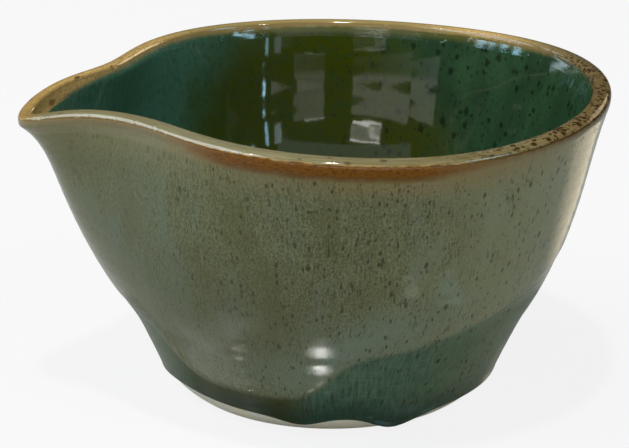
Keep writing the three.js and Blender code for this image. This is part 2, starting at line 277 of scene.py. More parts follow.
def wall_normal(z):
    """Outward unit normal of the clay wall, as (radial, vertical)."""
    reach = 0.01
    above = np.minimum(z + reach, LIP_FOOT)
    below = np.maximum(z - reach, 0)
    slope = (wall_radius(above) - wall_radius(below)) / (above - below)
    length = np.hypot(1, slope)
    return 1 / length, -slope / length


def spout_climb(z):
    return np.clip((z - SPOUT_ROOT) / (LIP_FOOT - SPOUT_ROOT), 0, 1)


def spout_shift(angle, z):
    climb = spout_climb(z)
    a = bearing(angle)
    channel = CHANNEL_DEPTH * climb**CHANNEL_RISE * bell(a / CHANNEL_ANGLE)
    flare = TIP_FLARE * climb**TIP_RISE * bell(a / TIP_ANGLE)
    thumbs = bell((a - PINCH_OFFSET) / PINCH_ANGLE) + bell((a + PINCH_OFFSET) / PINCH_ANGLE)
    return channel + flare - PINCH_DEPTH * climb**PINCH_RISE * thumbs


def wall_share(angle, z):
    """The pulled spout was drawn out thinner than the rest."""
    return 1 - SPOUT_THINNING * spout_climb(z) ** THINNING_RISE * bell(bearing(angle) / THINNING_ANGLE)


def lift(angle, z):
    climb = spout_climb(z)
    a = bearing(angle)
    drop = TIP_DROP * climb**DROP_RISE * bell(a / DROP_ANGLE)
    rise = BACK_RISE * climb**BACK_RISE_GROWTH * bell(bearing(angle, BACK_RISE_SIDE) / BACK_RISE_ANGLE)
    sag = FRONT_SAG * climb**FRONT_SAG_GROWTH * bell(bearing(angle, FRONT_SAG_SIDE) / FRONT_SAG_ANGLE)
    return RIM_TILT * climb * np.cos(rad(a)) - drop + rise - sag


FOOT_CENTRE_X = float(spout_shift(0, LIP_FOOT) - spout_shift(180, LIP_FOOT)) / 2


def unevenness(angle, z, share_inside):
    """Hand-made waves and throwing rings, in mm along the radius, fading out at the foot."""
    a = rad(angle)
    waves = sum(depth * np.sin(lobes * a + turn + drift * z) for lobes, depth, turn, drift in WAVES)
    outer_spiral = z + OUTER_RING_PITCH * angle / 360
    inner_spiral = z + angle / 360 * INNER_RING_PITCH
    outer_rings = OUTER_RING_DEPTH * np.sin(2 * np.pi * outer_spiral / OUTER_RING_PITCH)
    outer_rings = outer_rings + STEP_DEPTH / 2 * np.tanh((z - STEP_HEIGHT) / STEP_WIDTH)
    inner_rings = INNER_RING_DEPTH * np.sin(2 * np.pi * inner_spiral / INNER_RING_PITCH)
    rings = outer_rings * (1 - share_inside) + inner_rings * share_inside
    return (waves + rings) * np.clip((z - FOOT_LINE_HEIGHT) / WAIST_HEIGHT, 0, 1)


def place(angle, r, z):
    """Profile points of the round bowl, put on the spouted one."""
    step = 0.05
    wall = wall_radius(z)
    uneven = unevenness(angle, z, np.clip((wall - r) / LIP_THICKNESS, 0, 1))
    r = r + uneven * np.clip(r / FOOT_RADIUS, 0, 1)
    reach = wall + spout_shift(angle, z)
    slope = (spout_shift(angle + step, z) - spout_shift(angle - step, z)) / (2 * rad(step))
    length = np.hypot(reach, slope)
    depth = np.where(wall > r, (wall - r) * wall_share(angle, z), wall - r)
    out = reach - depth * reach / length
    side = depth * slope / length
    a = rad(angle)
    x = FOOT_CENTRE_X - out * np.cos(a) + side * np.sin(a)
    y = -out * np.sin(a) - side * np.cos(a)
    return np.stack([x, y, z + lift(angle, z)], axis=-1)


def foot_line(angle):
    line = FOOT_LINE_HEIGHT + 0 * angle
    for count, height, turn in FOOT_LINE_WAVES:
        line = line + height * np.sin(rad(count * angle + turn))
    for side, length, width in GLAZE_RUNS:
        line = line - length * bell(bearing(angle, side) / width)
    return line


def dip_line(angle):
    tilt = DIP_TILT * np.cos(rad(angle - DIP_HIGH_SIDE))
    across = np.abs(bearing(angle, TONGUE_SIDE)) / TONGUE_HALF_WIDTH
    tongue = TONGUE_LENGTH * np.exp(-(across**TONGUE_SQUARENESS))
    edge = foot_line(angle)
    rise = (DIP_HEIGHT + tilt - tongue - edge) / 2
    return edge + rise + np.hypot(rise, FIRST_COAT_MARGIN)


# Profiles: each is a list of columns, and a column holds radius and height at every turn
TURNS = np.linspace(-180, 180, TURN_STEPS, endpoint=False)


def rows(low, high, count, ease=1.0):
    """Heights of a count of columns from one line to another, closer to the first for ease over 1."""
    shares = np.linspace(0, 1, count) ** ease
    low, high = np.broadcast_to(low, TURNS.shape), np.broadcast_to(high, TURNS.shape)
    return [low + share * (high - low) for share in shares]


def steady(value):
    """The same value at every turn."""
    return np.full(TURNS.shape, float(value))


def on_wall(z):
    return wall_radius(z), z


def coat_thickness(coat, rise, roll):
    """Thickness at a rise above the coat's lower edge, where the glaze stands in a round roll."""
    start = np.sqrt(np.clip(rise / EDGE_ROLL_WIDTH, 0, 1))
    return start * (coat + roll * bell((rise - EDGE_ROLL_WIDTH) / EDGE_ROLL_WIDTH))


def run_roll():
    """Glaze gathers at the end of a run, so its edge is thicker there."""
    gathered = sum(RUN_GATHERING * length * bell(bearing(TURNS, side) / width)
                   for side, length, width in GLAZE_RUNS)
    return EDGE_ROLL + gathered


def thinned(z):
    """Both outer coats ran off the upper wall, so the wall goes straight up into the lip."""
    t = np.clip((z - COATS_THIN_FROM) / (RIM_LINE_OUTSIDE - COATS_THIN_FROM), 0, 1)
    return 1 - COATS_THIN_SHARE * t * t * (3 - 2 * t)


def over_first_coat(z):
    thickness = coat_thickness(BASE_COAT, z - foot_line(TURNS), run_roll()) * thinned(z)
    nr, nz = wall_normal(z)
    return wall_radius(z) + thickness * nr, z + thickness * nz


def over_second_coat(z):
    t = np.clip((z - dip_line(TURNS)) / FEATHERED_EDGE, 0, 1)
    thickness = OVER_COAT * t * (2 - t) * thinned(z)
    r, height = over_first_coat(z)
    nr, nz = wall_normal(z)
    return r + thickness * nr, height + thickness * nz


def lip_columns(coat, count):
    """Columns over the lip from outside to inside, on the clay or on a coat over it."""
    columns = []
    for a in np.linspace(rad(-RIM_LEAN), rad(180 - RIM_LEAN), count):
        radius = (LIP_RADIUS + coat) * lip_fullness(a + rad(LIP_TILT))
        r, z = LIP_MIDDLE + radius * np.cos(a), LIP_HEIGHT + radius * np.sin(a)
        columns.append((steady(r), steady(z)))
    return columns


def lip_fullness(a):
    """The lip is a round that is fuller at its corners."""
    if math.sin(a) <= 0:
        return 1
    return (abs(math.cos(a)) ** LIP_SQUARENESS + math.sin(a) ** LIP_SQUARENESS) ** (-1 / LIP_SQUARENESS)


# Stations of the inside: height, radius and slope
INNER_LIP_HEIGHT = LIP_HEIGHT + LIP_RADIUS * math.sin(rad(RIM_LEAN))
INNER_LIP = (INNER_LIP_HEIGHT, LIP_MIDDLE - LIP_HALF_WIDTH, lean(RIM_LEAN))
INNER_WELL = (WELL_HEIGHT, float(wall_radius(WELL_HEIGHT)) - WELL_WALL, lean(WELL_LEAN))
FLOOR_TOP = RECESS_DEPTH + FLOOR_THICKNESS


def inner_outline(wall_rows, floor_rows):
    """Points (radius, height) of the clay inside, from the rim band down to the middle of the floor."""
    heights = np.linspace(RIM_LINE_INSIDE, WELL_HEIGHT, wall_rows)
    upper = [(float(between(INNER_WELL, INNER_LIP, z)), float(z)) for z in heights]
    pull = (math.sin(rad(WELL_LEAN)) * WELL_SWEEP, math.cos(rad(WELL_LEAN)) * WELL_SWEEP)
    ends = [(INNER_WELL[1], WELL_HEIGHT), (INNER_WELL[1] - pull[0], WELL_HEIGHT - pull[1]),
            (FLOOR_FLATNESS, FLOOR_TOP), (0, FLOOR_TOP)]
    sweep = []
    for t in np.linspace(0, 1, floor_rows)[1:]:
        weights = [(1 - t) ** 3, 3 * t * (1 - t) ** 2, 3 * t * t * (1 - t), t**3]
        sweep.append(tuple(sum(w * end[axis] for w, end in zip(weights, ends)) for axis in (0, 1)))
    return np.array(upper + sweep)


def offset_outline(points, distance):
    """Points moved square to their own run, towards the hollow of the bowl."""
    run = np.gradient(points, axis=0)
    run /= np.hypot(run[:, 0], run[:, 1])[:, None]
    moved = points + distance * np.stack([run[:, 1], -run[:, 0]], axis=1)
    moved[-1] = (0, points[-1, 1] + distance)
    return moved


def outline_columns(points):
    return [(steady(r), steady(z)) for r, z in points]


# Meshes
def stacked(columns):
    """Radius and height of all columns, side by side."""
    return [np.stack([column[axis] for column in columns], axis=1) for axis in (0, 1)]


def faces_between(radius, height):
    """Faces from turn to turn and from column to column, looking out, as lists of point numbers."""
    outline = np.stack([radius[0], height[0]], axis=1)
    following = np.roll(outline, -1, axis=0)
    clockwise = np.sum(outline[:, 0] * following[:, 1] - following[:, 0] * outline[:, 1]) < 0

    index = np.arange(radius.size).reshape(radius.shape)
    on_axis = np.max(np.abs(radius), axis=0) < ON_AXIS
    index[:, on_axis] = index[0, on_axis]
    ahead = np.roll(index, -1, axis=0)
    up = np.roll(index, -1, axis=1)
    corner = np.roll(ahead, -1, axis=1)
    quads = np.stack([index, up, corner, ahead], axis=-1).reshape(-1, 4)
    if not clockwise:
        quads = quads[:, ::-1]
    faces = [list(dict.fromkeys(quad)) for quad in quads.tolist()]
    return [face for face in faces if len(face) > 2]


def write_mark(mesh, name, values, used):
    """Keep a number or a vector at each point, for the materials to read."""
    vector = values.ndim == 3
    attribute = mesh.attributes.new(name, "FLOAT_VECTOR" if vector else "FLOAT", "POINT")
    kept = values.reshape(-1, 3 if vector else 1)[used]
    attribute.data.foreach_set("vector" if vector else "value", kept.astype(np.float32).ravel())


def skin(name, columns, marks):
    """A closed solid over columns of (radius, height), with marks at its points."""
    radius, height = stacked(columns)
    points = place(TURNS[:, None], radius, height).reshape(-1, 3) * MM
    faces = faces_between(radius, height)
    used = np.unique(np.concatenate(faces))
    fresh = np.full(radius.size, -1)
    fresh[used] = np.arange(len(used))
    mesh = bpy.data.meshes.new(name)
    mesh.from_pydata(points[used].tolist(), [], [[int(fresh[v]) for v in face] for face in faces])
    mesh.update()
    for mark, values in marks.items():
        write_mark(mesh, mark, values, used)
    mesh.polygons.foreach_set("use_smooth", [True] * len(mesh.polygons))
    mesh.set_sharp_from_angle(angle=math.radians(SHARP_ANGLE))
    piece = bpy.data.objects.new(name, mesh)
    bpy.context.scene.collection.objects.link(piece)
    return piece


def crest_distance(columns, crest):
    """Distance along the profile from the crest of the lip, negative outside and positive inside."""
    radius, height = stacked(columns)
    steps = np.hypot(np.diff(radius, axis=1), np.diff(height, axis=1))
    along = np.concatenate([np.zeros((len(TURNS), 1)), np.cumsum(steps, axis=1)], axis=1)
    return along - along[:, crest : crest + 1]


def wall_length(z):
    """Length along the wall from a height up to the crest, so that all outer coats agree."""
    heights = np.linspace(0, LIP_FOOT, ARC_SAMPLES)
    lengths = np.concatenate([[0], np.cumsum(np.hypot(np.diff(heights), np.diff(wall_radius(heights))))])
    round_lip = (LIP_RADIUS + RIM_COAT) * float(rad(90 + RIM_LEAN))
    return lengths[-1] - np.interp(z, heights, lengths) + round_lip


def marks_for(crest, edge):
    """Marks of a piece. crest: signed length from the crest of the lip. edge: height above the
    coat's lower edge. wrap: the pattern space, a cylinder as high as the wall is long.
    """
    a = rad(TURNS)[:, None] + 0 * crest
    wrap = np.stack([PATTERN_RADIUS * np.cos(a), PATTERN_RADIUS * np.sin(a), crest], axis=-1)
    return {"wrap": wrap, "crest": crest, "edge": edge + 0 * crest}


def inner_crest(points):
    """Distance from the crest of the lip to each point of an inner outline."""
    steps = np.hypot(*np.diff(points, axis=0).T)
    start = INNER_LIP_ARC + (INNER_LIP_HEIGHT - RIM_LINE_INSIDE) / math.cos(rad(RIM_LEAN))
    return start + np.concatenate([[0], np.cumsum(steps)])


def foot_columns():
    """Underside of the foot: crowned recess, its bevel, and the flat ring that it stands on."""
    ring_inside = FOOT_RADIUS - FOOT_RING_WIDTH
    bevel_inside = ring_inside - RECESS_BEVEL
    columns = [(steady(r), steady(RECESS_DEPTH - RECESS_CROWN * (1 - (r / CROWN_RADIUS) ** 2)))
               for r in np.linspace(0, CROWN_RADIUS, CROWN_COLUMNS)]
    columns += [(steady(r), steady(RECESS_DEPTH))
                for r in np.linspace(CROWN_RADIUS, bevel_inside, RECESS_COLUMNS)[1:]]
    columns += [(steady(ring_inside - RECESS_BEVEL * (1 - t)), steady(RECESS_DEPTH * (1 - t * t)))
                for t in np.linspace(0, 1, BEVEL_COLUMNS)[1:]]
    columns += [(steady(r), steady(0))
                for r in np.linspace(ring_inside, FOOT_RADIUS, RING_COLUMNS)[1:-1]]
    return columns


def make_clay():
    foot = foot_line(TURNS)
    heights = rows(0, foot, BARE_COLUMNS)[:-1] + rows(foot, RIM_LINE_OUTSIDE, CONTACT_COLUMNS)
    columns = foot_columns() + [on_wall(z) for z in heights]
    columns += lip_columns(0, CONTACT_LIP_COLUMNS)
    columns += outline_columns(inner_outline(CONTACT_COLUMNS, CONTACT_COLUMNS))
    height = stacked(columns)[1]
    return skin("clay", columns, marks_for(-wall_length(np.clip(height, 0, LIP_FOOT)), height))


def make_liner():
    clay = inner_outline(CONTACT_COLUMNS, CONTACT_COLUMNS)
    surface = offset_outline(inner_outline(WELL_COLUMNS, FLOOR_COLUMNS), LINER_COAT)
    columns = outline_columns(clay) + outline_columns(surface[::-1])
    crest = np.concatenate([inner_crest(clay), inner_crest(surface)[::-1]])
    crest = np.broadcast_to(crest, (TURN_STEPS, len(crest)))
    return skin("liner", columns, marks_for(crest, steady(0)[:, None]))


def make_base():
    foot, dip = foot_line(TURNS), dip_line(TURNS)
    inner = rows(foot, RIM_LINE_OUTSIDE, CONTACT_COLUMNS)
    outer = rows(foot + EDGE_START, foot + ROLL_REACH, BASE_ROLL_COLUMNS, ROLL_EASE)[:-1]
    outer += rows(foot + ROLL_REACH, dip + UNDER_DIP, BASE_COLUMNS)
    outer += rows(dip + UNDER_DIP, RIM_LINE_OUTSIDE, HIDDEN_BASE_COLUMNS)[1:]
    columns = [on_wall(z) for z in inner] + [over_first_coat(z) for z in outer[::-1]]
    heights = np.stack(inner + outer[::-1], axis=1)
    return skin("base_coat", columns, marks_for(-wall_length(heights), heights - foot[:, None]))


def make_overdip():
    dip = dip_line(TURNS)
    inner = rows(dip, RIM_LINE_OUTSIDE, DIP_CONTACT_COLUMNS)
    outer = rows(dip + EDGE_START, dip + ROLL_REACH, DIP_ROLL_COLUMNS, ROLL_EASE)[:-1]
    outer += rows(dip + ROLL_REACH, RIM_LINE_OUTSIDE, DIP_COLUMNS)
    columns = [over_first_coat(z) for z in inner] + [over_second_coat(z) for z in outer[::-1]]
    heights = np.stack(inner + outer[::-1], axis=1)
    return skin("overdip_coat", columns, marks_for(-wall_length(heights), heights - dip[:, None]))


def rim_rise(start, lip_start):
    """Columns up the outside, where the two coats below run out into the one over the lip."""
    low = start[0] - wall_radius(start[1])
    high = lip_start[0] - wall_radius(lip_start[1])
    columns = []
    for share in np.linspace(0, 1, RIM_RISE_COLUMNS)[:-1]:
        ease = share * share * (3 - 2 * share)
        z = start[1] + share * (lip_start[1] - start[1])
        wall = wall_radius(np.minimum(z, LIP_FOOT))
        columns.append((wall + (low * (1 - ease) + high * ease), z))
    return columns


def rim_fall(lip_end, end):
    """Straight columns down the inside, from the lip to the liner."""
    return [tuple(lip_end[axis] + t * (end[axis] - lip_end[axis]) for axis in (0, 1))
            for t in np.linspace(0, 1, RIM_FALL_COLUMNS)[1:]]


def make_rim():
    line = steady(RIM_LINE_OUTSIDE)
    inside = inner_outline(WELL_COLUMNS, FLOOR_COLUMNS)
    surface = offset_outline(inside, LINER_COAT)
    first = [on_wall(line)] + lip_columns(0, CONTACT_LIP_COLUMNS) + outline_columns(inside[:1])
    lip = lip_columns(RIM_COAT, LIP_COLUMNS)
    rise = rim_rise(over_second_coat(line), lip[0])
    outer = rise + lip + rim_fall(lip[-1], outline_columns(surface[:1])[0])
    outer_crest = crest_distance(outer, len(rise) + LIP_CREST)
    columns = first + outer[::-1]
    crest = np.concatenate([np.tile(outer_crest[:, :1], (1, len(first))), outer_crest[:, ::-1]], axis=1)
    return skin("rim_coat", columns, marks_for(crest, steady(0)[:, None]))


clay = make_clay()
liner = make_liner()
base_coat = make_base()
overdip_coat = make_overdip()
rim_coat = make_rim()

# piece, CAD node that it stands for, material slot of the record
PIECES = [
    (clay, "clay_body", "bare_stoneware"),
    (liner, "liner_glaze", "liner_glaze"),
    (base_coat, "base_glaze", "base_glaze"),
    (overdip_coat, "overdip_glaze", "overdip_glaze"),
    (rim_coat, "rim_glaze", "rim_glaze"),
]
for piece, node, slot in PIECES:
    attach(piece, "root")
    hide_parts(node)


# Materials
def colour(code):
    """Linear colour of an sRGB code such as "#5c6149"."""
    parts = [int(code[i : i + 2], 16) / 255 for i in (1, 3, 5)]
    linear = [p / 12.92 if p <= 0.04045 else ((p + 0.055) / 1.055) ** 2.4 for p in parts]
    return (*linear, 1)


class Graph:
    """Short ways to build one material out of shader nodes. Lengths are in millimetres."""

    def __init__(self, name):
        self.material = bpy.data.materials.new(name)
        self.material.use_nodes = True
        self.tree = self.material.node_tree
        self.shader = self.tree.nodes["Principled BSDF"]
        spot = self.node("ShaderNodeTexCoord").outputs["Object"]
        self.spot = self.vector("MULTIPLY", spot, (1 / MM, 1 / MM, 1 / MM))

    def node(self, kind, **settings):
        made = self.tree.nodes.new(kind)
        for key, value in settings.items():
            setattr(made, key, value)
        return made

    def plug(self, socket, value):
        if isinstance(value, bpy.types.NodeSocket):
            self.tree.links.new(value, socket)
        else:
            socket.default_value = value

    def math(self, operation, *values):
        made = self.node("ShaderNodeMath", operation=operation)
        for socket, value in zip(made.inputs, values):
            self.plug(socket, value)
        return made.outputs[0]

    def vector(self, operation, *values):
        made = self.node("ShaderNodeVectorMath", operation=operation)
        for socket, value in zip(made.inputs, values):
            self.plug(socket, value)
        return made.outputs["Value" if operation == "DOT_PRODUCT" else "Vector"]

    def noise(self, field, size, detail=2):
        made = self.node("ShaderNodeTexNoise")
        self.plug(made.inputs["Vector"], field)
        made.inputs["Scale"].default_value = 1 / size
        made.inputs["Detail"].default_value = detail
        return made.outputs["Fac"]

    def cells(self, field, size):
        """Distance in mm to the nearest of many scattered points, and a chance number for that point."""
        made = self.node("ShaderNodeTexVoronoi")
        self.plug(made.inputs["Vector"], field)
        made.inputs["Scale"].default_value = 1 / size
        split = self.node("ShaderNodeSeparateColor")
        self.plug(split.inputs["Color"], made.outputs["Color"])
        return self.math("MULTIPLY", made.outputs["Distance"], size), split.outputs["Red"]

    def step(self, value, low, high, start=0.0, end=1.0):
        """Smooth change from start to end while value goes from low to high."""
        made = self.node("ShaderNodeMapRange", interpolation_type="SMOOTHSTEP")
        for socket, number in zip(made.inputs, (value, low, high, start, end)):
            self.plug(socket, number)
        return made.outputs["Result"]

    def hump(self, value, middle, width):
        """1 at the middle, falling off smoothly over the width."""
        x = self.math("DIVIDE", self.math("SUBTRACT", value, middle), width)
        return self.math("EXPONENT", self.math("MULTIPLY", self.math("MULTIPLY", x, x), -1))

    def blend(self, share, first, second):
        """From the first colour to the second, by a share of 0 to 1."""
        made = self.node("ShaderNodeMix", data_type="RGBA", clamp_factor=True)
        self.plug(made.inputs[0], share)
        self.plug(made.inputs[6], colour(first) if isinstance(first, str) else first)
        self.plug(made.inputs[7], colour(second) if isinstance(second, str) else second)
        return made.outputs[2]

    def times(self, *values):
        product = values[0]
        for value in values[1:]:
            product = self.math("MULTIPLY", product, value)
        return product

    def surface(self, tone, roughness, shine):
        """Base colour, roughness and specular level, each a number or a pattern."""
        self.plug(self.shader.inputs["Base Color"], tone)
        self.plug(self.shader.inputs["Roughness"], roughness)
        self.plug(self.shader.inputs["Specular IOR Level"], shine)

    def bump(self, height, distance):
        """Bump from a height of 0 to 1 that stands for a distance in mm."""
        made = self.node("ShaderNodeBump")
        made.inputs["Distance"].default_value = distance * MM
        self.plug(made.inputs["Height"], height)
        self.plug(self.shader.inputs["Normal"], made.outputs["Normal"])


class Glaze(Graph):
    """A material that follows the marks on the wall: wrap, crest and edge."""

    def __init__(self, name):
        super().__init__(name)
        self.wrap = self.mark("wrap", "Vector")
        self.crest = self.mark("crest", "Fac")
        self.edge = self.mark("edge", "Fac")

    def mark(self, name, output):
        return self.node("ShaderNodeAttribute", attribute_name=name).outputs[output]

    def drawn(self, length, offset=0, field=None):
        """The wrapped surface, or another field, with patterns drawn out along the wall by a factor."""
        moved = self.vector("ADD", field or self.wrap, (offset, offset, offset))
        return self.vector("MULTIPLY", moved, (1, 1, 1 / length))

    def warped(self, field, size, amount):
        """A field pushed about by a noise, so that straight patterns waver."""
        noise = self.node("ShaderNodeTexNoise")
        self.plug(noise.inputs["Vector"], self.wrap)
        noise.inputs["Scale"].default_value = 1 / size
        push = self.vector("SUBTRACT", noise.outputs["Color"], (0.5, 0.5, 0.5))
        return self.vector("ADD", field, self.vector("MULTIPLY", push, (amount, amount, amount)))

    def toward(self, zone):
        """1 on the side that a zone lies on, falling off over its spread."""
        a, spread = [math.radians(degrees) for degrees in zone]
        facing = (math.cos(a) / PATTERN_RADIUS, math.sin(a) / PATTERN_RADIUS, 0)
        away = self.math("SUBTRACT", self.vector("DOT_PRODUCT", self.wrap, facing), 1)
        return self.math("EXPONENT", self.math("MULTIPLY", away, 2 / spread**2))

    def specks(self, size, radius, length, offset=0, field=None):
        """1 inside soft-edged specks of mixed sizes that are drawn out along the wall."""
        field = self.warped(self.drawn(length, offset, field), 0.8, radius * 2.2)
        distance, chance = self.cells(field, size)
        reach = self.math("MULTIPLY_ADD", chance, 1.2 * radius, 0.4 * radius)
        return self.step(self.math("DIVIDE", distance, reach), 1.4, 0.7)


def sage_colour(g):
    """Streaked sage glaze: blue where it pooled, olive where it ran thin, with painted shade beside the
    spout and low on the front, painted light on the right of the front, and a painted cream reflection
    at both ends, where the wall turns away.
    """
    grain = g.noise(g.warped(g.drawn(1.5), 1.5, 0.5), 0.38, 1)
    streaks = g.noise(g.warped(g.drawn(9, offset=5), 5, 1.2), 0.4, 2)
    clouds = g.noise(g.drawn(2), 9, 3)
    tone = g.blend(g.step(grain, 0.3, 0.7), SAGE_DARK, SAGE_PALE)
    tone = g.blend(g.step(streaks, 0.52, 0.7, 0.0, 0.45), tone, SAGE_OLIVE)
    tone = g.blend(g.step(streaks, 0.48, 0.3, 0.0, 0.35), tone, SAGE_LIGHT)
    tone = g.blend(g.step(clouds, 0.5, 0.7, 0.0, 0.45), tone, SAGE_OLIVE)
    tone = g.blend(g.step(clouds, 0.48, 0.3, 0.0, 0.3), tone, SAGE_BLUE)
    valleys = g.math("ADD", g.toward(VALLEY_FRONT), g.toward(VALLEY_BACK))
    pooled = g.times(valleys, g.hump(g.crest, -26, 20), g.step(clouds, 0.3, 0.6, 0.65, 0.3))
    tone = g.blend(pooled, tone, SAGE_BLUE)
    # Painted shade: the sage is darkened in the hollow beside the spout and low on the front.
    tone = g.blend(g.times(g.toward(SHADED_PINCH), 0.4), tone, SAGE_PAINTED_SHADE)
    tone = g.blend(g.times(g.toward(SHADED_FRONT), g.hump(g.crest, -46, 15), 0.6), tone, SAGE_PAINTED_SHADE)
    # Painted light: the sage is made lighter towards the right of the front.
    tone = g.blend(g.times(g.toward(PAINTED_LIGHT_FRONT), 0.75), tone, SAGE_LIGHT)
    # Painted reflection: a warm cream sheen where the wall turns away at both ends, strongest across
    # from the spout.
    pale = g.math("MULTIPLY_ADD", g.toward(PAINTED_SHEEN_END), 0.6, g.times(g.toward(PAINTED_SHEEN_SPOUT), 0.2))
    return g.blend(pale, tone, SAGE_CREAM)


def dark_marks(g, tone, strength=0.85):
    """Iron specks, many small ones between a few large, and bunches of fine upright dashes."""
    sparse = g.math("MULTIPLY_ADD", g.toward(FEW_MARKS), -0.7 * strength, strength)
    large = g.specks(3.4, 0.32, 1.8)
    strokes = g.specks(2.6, 0.15, 5.0, offset=47)
    small = g.specks(1.25, 0.2, 2.0, offset=31)
    dashes = g.noise(g.warped(g.drawn(5, offset=17), 4, 0.9), 0.36, 1)
    bunches = g.noise(g.drawn(1.3, offset=53), 5, 1)
    fine = g.times(g.step(dashes, 0.57, 0.67), g.step(bunches, 0.44, 0.6))
    tone = g.blend(g.times(large, sparse, 0.9), tone, SPECK)
    tone = g.blend(g.times(strokes, sparse, 0.8), tone, SPECK)
    tone = g.blend(g.times(small, sparse, 0.85), tone, SPECK)
    return g.blend(g.times(fine, sparse, 0.7), tone, SPECK)


def liner_colour(g):
    """Deep green glass, teal beside the spout, olive at the back, and all one green where it pooled."""
    depth = g.noise(g.drawn(1.6, field=g.spot), 8, 3)
    mottle = g.noise(g.drawn(1.4, offset=3, field=g.spot), 1.2, 2)
    shallow = g.step(g.crest, 66, 40)
    wander = g.math("MULTIPLY_ADD", depth, 0.5, -0.25)
    tone = g.blend(g.step(depth, 0.3, 0.7), LINER_DARK, LINER)
    teal = g.times(g.toward(LINER_TEAL_SIDE), shallow, 0.9)
    tone = g.blend(teal, tone, LINER_TEAL)
    depth_down = g.math("MINIMUM", g.math("MULTIPLY_ADD", g.crest, 0.015, -0.3), 0.15)
    back = g.math("ADD", g.math("ADD", g.toward(LINER_OLIVE_SIDE), wander), depth_down)
    tone = g.blend(g.times(g.step(back, 0.3, 0.8), shallow, 0.95), tone, LINER_OLIVE)
    calm = g.math("MULTIPLY_ADD", g.toward(LINER_TEAL_SIDE), -0.6, 1)
    tone = g.blend(g.times(g.step(mottle, 0.45, 0.7, 0.0, 0.5), calm), tone, LINER_DARK)
    drops = g.specks(2.4, 0.5, 1.3, offset=71, field=g.spot)
    dots = g.specks(1.25, 0.24, 1.5, offset=83, field=g.spot)
    crowd = g.step(g.toward(LINER_SPECK_SIDE), 0.1, 0.9, 0.2, 1.0)
    tone = g.blend(g.times(drops, crowd, 0.75), tone, LINER_SPECK)
    return g.blend(g.times(dots, crowd, 0.5), tone, LINER_SPECK)


def glaze_bump(g, amount):
    """Fine orange peel on a fired glaze."""
    g.bump(g.noise(g.drawn(1.3, offset=7), 0.45, 3), amount)


def bare_stoneware():
    g = Glaze("bare_stoneware")
    patches = g.noise(g.wrap, 5, 3)
    tone = g.blend(g.step(patches, 0.35, 0.65), CLAY_GREY, CLAY_TAN)
    grit = g.noise(g.wrap, 0.35, 3)
    tone = g.blend(g.step(grit, 0.55, 0.75, 0.0, 0.4), tone, CLAY_SPECK)
    dots = g.specks(1.6, 0.14, 1.0, offset=11)
    tone = g.blend(g.times(dots, 0.6), tone, CLAY_SPECK)
    g.surface(tone, CLAY_ROUGHNESS, CLAY_SHINE)
    g.bump(grit, CLAY_BUMP)
    return g.material


def liner_glaze():
    g = Glaze("liner_glaze")
    under_lip = g.times(g.toward(LINER_DULL_BACK), g.step(g.crest, 15.5, 13))
    dull = g.math("MAXIMUM", g.toward(LINER_DULL_END), under_lip)
    shine = g.math("MULTIPLY_ADD", dull, -0.43, LINER_SHINE)
    g.surface(liner_colour(g), LINER_ROUGHNESS, shine)
    g.bump(g.noise(g.drawn(1.3, offset=7), 2.4, 2), LINER_BUMP)
    return g.material


def base_colour(g):
    """Teal, greyer towards both ends, and black-olive between the spout and the front."""
    streaks = g.noise(g.warped(g.drawn(6), 12, 1.4), 0.6, 3)
    tone = g.blend(g.step(streaks, 0.3, 0.7), TEAL, TEAL_PALE)
    sweeps = g.noise(g.vector("MULTIPLY", g.wrap, (0.12, 0.12, 1.6)), 1.2, 2)
    tone = g.blend(g.step(sweeps, 0.5, 0.72, 0.0, 0.16), tone, GREY_OLIVE)
    tone = g.blend(g.toward(BASE_GREY_END), tone, GREY_OLIVE)
    tone = g.blend(g.times(g.toward(BASE_GREY_SPOUT), 0.8), tone, GREY_TEAL)
    return g.blend(g.step(g.toward(BASE_BLACK), 0.3, 0.8), tone, BLACK_OLIVE)


def base_glaze():
    """Teal coat below the dip line, darkest along the foot."""
    g = Glaze("base_glaze")
    pale = g.math("MAXIMUM", g.toward(BASE_PALE_SPOUT), g.toward(BASE_PALE_END))
    dark = g.times(g.step(g.edge, 9, 2, 0.0, 0.7), g.math("MULTIPLY_ADD", pale, -0.8, 1))
    tone = g.blend(dark, base_colour(g), TEAL_DARK)
    shine = g.math("MULTIPLY_ADD", g.toward(BASE_DULL), -0.16, BASE_SHINE)
    g.surface(dark_marks(g, tone, 0.8), BASE_ROUGHNESS, shine)
    glaze_bump(g, BASE_BUMP)
    return g.material


def overdip_glaze():
    """Sage coat over the teal one, which shows through its thin lower edge."""
    g = Glaze("overdip_glaze")
    tone = sage_colour(g)
    lobes = g.times(g.toward(BLUE_LOBES), g.hump(g.edge, 7, 7))
    tone = g.blend(g.times(lobes, 0.7), tone, SAGE_BLUE)
    ragged = g.noise(g.drawn(3, offset=61), 1.1, 3)
    broken = g.times(g.toward(BROKEN_EDGE), g.hump(g.edge, 2.5, 3.5), g.step(ragged, 0.48, 0.62))
    tone = g.blend(g.times(broken, 0.8), tone, SAGE_CREAM)
    tone = warmed(g, tone)
    waver = g.math("SUBTRACT", g.noise(g.drawn(1.5, offset=67), 0.8, 3), 0.5)
    frayed = g.math("MULTIPLY_ADD", waver, 1.6, g.edge)
    tone = g.blend(g.step(frayed, 1.7, -0.1), tone, base_colour(g))
    g.surface(dark_marks(g, tone), SAGE_ROUGHNESS, SAGE_SHINE)
    glaze_bump(g, SAGE_BUMP)
    return g.material


def warmed(g, tone):
    """The sage turns warmer towards the lip, and browner under its front."""
    tone = g.blend(g.times(g.step(g.crest, -14, -6), 0.4), tone, SAGE_CREAM)
    brown = g.times(g.step(g.crest, -11.5, -5.5), g.toward(BROWN_FRONT), 0.5)
    return g.blend(brown, tone, TAN)


